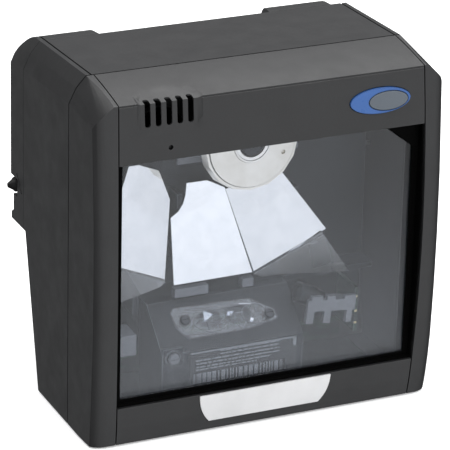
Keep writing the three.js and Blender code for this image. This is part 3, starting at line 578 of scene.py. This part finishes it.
def dashes(chance):
    """Rows of dashes of made-up lengths, each as its left, right, bottom and top."""
    marks = []
    for height, start, end in DASH_ROWS:
        x = start
        while x < end:
            length = chance.uniform(*DASH_LENGTHS)
            marks.append((x, min(x + length, end), height, height + DASH_TALL))
            x += length + chance.uniform(*DASH_GAPS)
    return marks


def strip_bars(chance):
    """Upright bars of made-up widths, which hold no code."""
    marks = []
    x = STRIP["left"]
    while x < STRIP["right"]:
        width = chance.choice(BAR_WIDTHS)
        marks.append((x, x + width, STRIP["bottom"], STRIP["top"]))
        x += width + chance.choice(BAR_GAPS)
    for end, (start, stop) in zip((STRIP["left"], STRIP["right"]), STRIP_ENDS):
        marks.append((end + start, end + stop, STRIP["bottom"], STRIP["top"]))
    return marks


def painted_edge_highlights(across, tall):
    right = across - HIGHLIGHT_INSET
    top = tall - HIGHLIGHT_TOP[1]
    return [
        (HIGHLIGHT_INSET, right, tall - HIGHLIGHT_TOP[0], top),
        (across - HIGHLIGHT_SIDE[0], right, tall - HIGHLIGHT_SIDE[1], top),
    ]


def add_label_print_and_highlights():
    """Plain dashes and bars, with no letters or code in them, and pale lines along the top and right that are
    painted highlights of the label's edges.
    """
    low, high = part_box("rating_label")
    chance = random.Random(SEED)
    edge_highlights = painted_edge_highlights((high.x - low.x) / MM, (high.z - low.z) / MM)
    marks = [*dashes(chance), *strip_bars(chance), *edge_highlights]
    blocks = [
        (
            (low.x + left * MM, low.y - MARK_THICK, low.z + bottom * MM),
            (low.x + right * MM, low.y + MARK_THICK, low.z + top * MM),
        )
        for left, right, bottom, top in marks
    ]
    add_piece("label_print", boxes_mesh("label_print", blocks), INK_AND_HIGHLIGHT)


# The collector's sloping lid: how far it leans back, and the directions up it and out of it.
LID_LEAN = math.radians(46)
LID_UP = Vector((0, math.sin(LID_LEAN), math.cos(LID_LEAN)))
LID_OUT = Vector((0, -math.cos(LID_LEAN), math.sin(LID_LEAN)))

# The optic's flat rim, in mm from the lid's anchor point, which the details are placed from.
RIM_LEFT = -19.6
RIM_LOW = -6.6
RIM_HIGH = 7.4
RIM_BACK = 0.5


def lid_anchor():
    """The anchor point, worked back from where the rim touches the sides of the optic's box."""
    low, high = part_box("collector_optic")
    to_low = (LID_UP * RIM_LOW + LID_OUT * RIM_BACK) * MM
    to_high = (LID_UP * RIM_HIGH + LID_OUT * RIM_BACK) * MM
    return Vector((low.x - RIM_LEFT * MM, high.y - to_high.y, low.z - to_low.z))


LID_ANCHOR = lid_anchor()


def on_lid(u, v, out):
    """A point from distances along the lid, up it and out of it, in mm."""
    return LID_ANCHOR + (Vector((1, 0, 0)) * u + LID_UP * v + LID_OUT * out) * MM


# Outlines of facets in the optic, in mm along the lid and up it. They are silvered and turned to the window,
# so that their brightness is a painted highlight.
FACETS = [
    [(-5.9, 4.2), (-1.4, 1.5), (-5.9, -1.8)],
    [(4.4, 2.2), (7.4, 2.0), (5.7, -0.6), (3.8, 0.1)],
    [(13.6, -2.0), (15.3, -2.6), (14.4, -5.0), (13.0, -4.6)],
    [(10.2, 4.9), (15.8, 4.2), (15.6, 3.6), (10.4, 4.3)],
]
FACET_NORMAL = Vector((-0.05, -0.97, 0.24)).normalized()
FACET_OUT = 2.6  # mm out of the lid
FACET_THICK = 0.5 * MM


def add_facet(made, outline):
    """A thin pane over the outline, turned to face the window."""
    anchor = on_lid(*outline[0], FACET_OUT)
    points = [on_lid(u, v, FACET_OUT) for u, v in outline]
    front = [point - FACET_NORMAL * (point - anchor).dot(FACET_NORMAL) for point in points]
    fronts = [made.verts.new(point) for point in front]
    backs = [made.verts.new(point - FACET_NORMAL * FACET_THICK) for point in front]
    made.faces.new(fronts)
    made.faces.new(backs[::-1])
    for i, vertex in enumerate(fronts):
        after = (i + 1) % len(fronts)
        made.faces.new((vertex, backs[i], backs[after], fronts[after]))


# Raised oval hoops on the optic, pale grey as painted highlights of the clear lens rims: side, centre and
# half width and height, in mm along the lid and up it.
HOOPS = [("left", (-2.8, 0.2), (8.6, 5.4)), ("right", (15.8, -0.4), (5.6, 4.2))]
HOOP_OUT = 2.1  # mm out of the lid
HOOP_RADIUS = 0.16 * MM
HOOP_SIDES = 8
HOOP_STEPS = 48


def hoop_section(made, centre, half, angle):
    """One ring of corners round the hoop's wire, at an angle round the hoop."""
    u = centre[0] + half[0] * math.cos(angle)
    v = centre[1] + half[1] * math.sin(angle)
    middle = on_lid(u, v, HOOP_OUT)
    outward = (Vector((1, 0, 0)) * math.cos(angle) + LID_UP * math.sin(angle)).normalized()
    turns = [2 * math.pi * j / HOOP_SIDES for j in range(HOOP_SIDES)]
    return [
        made.verts.new(middle + (outward * math.cos(t) + LID_OUT * math.sin(t)) * HOOP_RADIUS) for t in turns
    ]


def add_hoop(name, centre, half):
    """A thin oval hoop that lies on the optic, pale grey as a painted highlight of a clear lens rim."""
    made = bmesh.new()
    angles = [2 * math.pi * i / HOOP_STEPS for i in range(HOOP_STEPS)]
    sections = [hoop_section(made, centre, half, angle) for angle in angles]
    for i, here in enumerate(sections):
        there = sections[(i + 1) % HOOP_STEPS]
        for j in range(HOOP_SIDES):
            k = (j + 1) % HOOP_SIDES
            made.faces.new((here[j], there[j], there[k], here[k]))
    mesh = finished_mesh(name, made)
    mesh.polygons.foreach_set("use_smooth", [True] * len(mesh.polygons))
    # Pale grey: a painted highlight of the clear rim.
    add_piece(name, mesh, FINISHES["pale_grey"])


def add_optic_details():
    """Facets silvered as painted highlights, and raised lens rings in pale grey as painted highlights, on the
    clear optic.
    """
    made = bmesh.new()
    for outline in FACETS:
        add_facet(made, outline)
    mesh = finished_mesh("optic_facets", made)
    # Silvered panes: painted highlights on the clear optic.
    add_piece("optic_facets", mesh, FINISHES["silvered"])
    for side, centre, half in HOOPS:
        add_hoop(f"optic_ring_{side}", centre, half)


PAD_HEIGHTS = (3.5, 8.8, 15.4)  # mm over the board's foot
PAD_HALF_WIDTH = 0.6 * MM
PAD_TALL = 0.9 * MM
PAD_REACH = (0.25 * MM, 0.2 * MM)  # in front of the board's edge and behind it


def add_board_pads():
    """Gold pads along the front edge of the laser board."""
    low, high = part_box("laser_board")
    middle = (low.x + high.x) / 2
    blocks = []
    for height in PAD_HEIGHTS:
        z = low.z + height * MM
        near = (middle - PAD_HALF_WIDTH, low.y - PAD_REACH[0], z)
        far = (middle + PAD_HALF_WIDTH, low.y + PAD_REACH[1], z + PAD_TALL)
        blocks.append((near, far))
    add_piece("board_pads", boxes_mesh("board_pads", blocks), GOLD, bevel=0.1 * MM)


CONTACT_PITCH = 1.0 * MM
CONTACT_HALF_WIDTH = 0.2 * MM
CONTACT_THICK = 0.5 * MM
CONTACT_SPAN = (7.5 * MM, 1.5 * MM)  # from and to, behind the socket's mouth
CONTACT_LIFT = 4.1 * MM  # over the socket's foot


def add_socket_contacts():
    """Rows of fine gold springs inside the two data sockets."""
    for socket, count in (("host_socket", 10), ("aux_socket", 6)):
        low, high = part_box(socket)
        middle = (low.x + high.x) / 2
        z = low.z + CONTACT_LIFT
        blocks = []
        for i in range(count):
            x = middle + (i - (count - 1) / 2) * CONTACT_PITCH
            near = (x - CONTACT_HALF_WIDTH, high.y - CONTACT_SPAN[0], z)
            far = (x + CONTACT_HALF_WIDTH, high.y - CONTACT_SPAN[1], z + CONTACT_THICK)
            blocks.append((near, far))
        name = f"{socket}_contacts"
        add_piece(name, boxes_mesh(name, blocks), GOLD, bevel=0.08 * MM)


# ---- stage, light and camera ----

# Where the studio glows: direction, where the glow starts and is full (as cosines), strength.
GLOWS = [
    (Vector((0.26, -0.966, 0.0)), 0.15, 0.85, 0.98),
    (Vector((0.35, -0.93, 0.1)), 0.93, 1.0, 0.2),
    (Vector((0.35, 0.2, 0.91)), 0.3, 1.0, 0.6),
    (Vector((-0.38, 0.85, -0.35)), 0.3, 1.0, 0.2),
]
DIM_GLOW = 0.06
SKY_TINT = (0.97, 0.985, 1.0, 1.0)

CAMERA_PLACE = Vector((-0.51330, -1.12346, 0.59420))
CAMERA_YAW = 0.429
CAMERA_PITCH = 0.401
CAMERA_ROLL = 0.025
LENS = 257.7
SENSOR_WIDTH = 36


def camera_turn():
    """The camera's axes as a turn: yaw from straight ahead, pitch downward, then roll."""
    forward = Vector((
        math.sin(CAMERA_YAW) * math.cos(CAMERA_PITCH),
        math.cos(CAMERA_YAW) * math.cos(CAMERA_PITCH),
        -math.sin(CAMERA_PITCH),
    ))
    level = Vector((math.cos(CAMERA_YAW), -math.sin(CAMERA_YAW), 0))
    over = level.cross(forward)
    right = level * math.cos(CAMERA_ROLL) + over * math.sin(CAMERA_ROLL)
    up = over * math.cos(CAMERA_ROLL) - level * math.sin(CAMERA_ROLL)
    return Matrix((right, up, -forward)).transposed()


def add_camera():
    data = bpy.data.cameras.new("camera")
    data.lens = LENS
    data.sensor_width = SENSOR_WIDTH
    data.clip_start = 0.01
    data.clip_end = 20
    camera = bpy.data.objects.new("camera", data)
    bpy.context.scene.collection.objects.link(camera)
    camera.matrix_world = Matrix.Translation(CAMERA_PLACE) @ camera_turn().to_4x4()
    bpy.context.scene.camera = camera


LAMP_PLACE = Vector((0.1, 0.2, 1.6))
LAMP_TARGET = Vector((0, 0.2, 0))
LAMP_SIDE = 2.6
LAMP_WATTS = 55


def add_overhead_lamp():
    """A large soft square lamp over the object."""
    data = bpy.data.lights.new("overhead", "AREA")
    data.shape = "RECTANGLE"
    data.size = LAMP_SIDE
    data.size_y = LAMP_SIDE
    data.energy = LAMP_WATTS
    lamp = bpy.data.objects.new("overhead", data)
    bpy.context.scene.collection.objects.link(lamp)
    lamp.location = LAMP_PLACE
    lamp.rotation_mode = "QUATERNION"
    lamp.rotation_quaternion = (LAMP_TARGET - LAMP_PLACE).to_track_quat("-Z", "Y")


FLOOR_REACH = 30
FLOOR_DROP = 0.2 * MM  # keeps the floor clear of the feet
FLOOR_GLOW = 0.3


def add_floor():
    """A plain pale floor that the mirrors and the glossy faces don't show."""
    side = FLOOR_REACH
    mesh = bpy.data.meshes.new("floor")
    corners = [(-side, -side, 0), (side, -side, 0), (side, side, 0), (-side, side, 0)]
    mesh.from_pydata([Vector(c) for c in corners], [], [(0, 1, 2, 3)])
    floor = bpy.data.objects.new("floor", mesh)
    bpy.context.scene.collection.objects.link(floor)
    finish = Finish("floor_paint", srgb("#f4f4f4"), 0.9, specular=0.0)
    finish.set(emission_color=(1.0, 1.0, 1.0, 1.0), emission_strength=FLOOR_GLOW)
    mesh.materials.append(finish.material)
    floor.location.z = -FLOOR_DROP
    floor.visible_glossy = False


def glow(nodes, links, place, spec):
    """The strength of one glow in the direction that place gives."""
    direction, starts, full, strength = spec
    toward = nodes.new("ShaderNodeVectorMath")
    toward.operation = "DOT_PRODUCT"
    toward.inputs[1].default_value = direction.normalized()
    links.new(place, toward.inputs[0])
    ramp = nodes.new("ShaderNodeMapRange")
    ramp.interpolation_type = "SMOOTHSTEP"
    set_range(ramp, starts, full, 0, strength)
    links.new(toward.outputs["Value"], ramp.inputs["Value"])
    return ramp.outputs["Result"]


def add_world():
    """A soft studio: a bright wall in front of the object, a paler ceiling, dim to both sides."""
    world = bpy.data.worlds.new("studio")
    bpy.context.scene.world = world
    world.use_nodes = True
    nodes, links = world.node_tree.nodes, world.node_tree.links
    place = nodes.new("ShaderNodeTexCoord").outputs["Generated"]
    total = nodes.new("ShaderNodeValue").outputs["Value"]
    total.default_value = DIM_GLOW
    for spec in GLOWS:
        add = nodes.new("ShaderNodeMath")
        links.new(glow(nodes, links, place, spec), add.inputs[0])
        links.new(total, add.inputs[1])
        total = add.outputs["Value"]
    sky = nodes["Background"]
    sky.inputs["Color"].default_value = SKY_TINT
    links.new(total, sky.inputs["Strength"])


def add_stage():
    bpy.context.scene.view_settings.view_transform = "Standard"
    add_camera()
    add_floor()
    add_world()
    add_overhead_lamp()


dress_cad()
add_label_print_and_highlights()
add_optic_details()
add_board_pads()
add_socket_contacts()
add_stage()
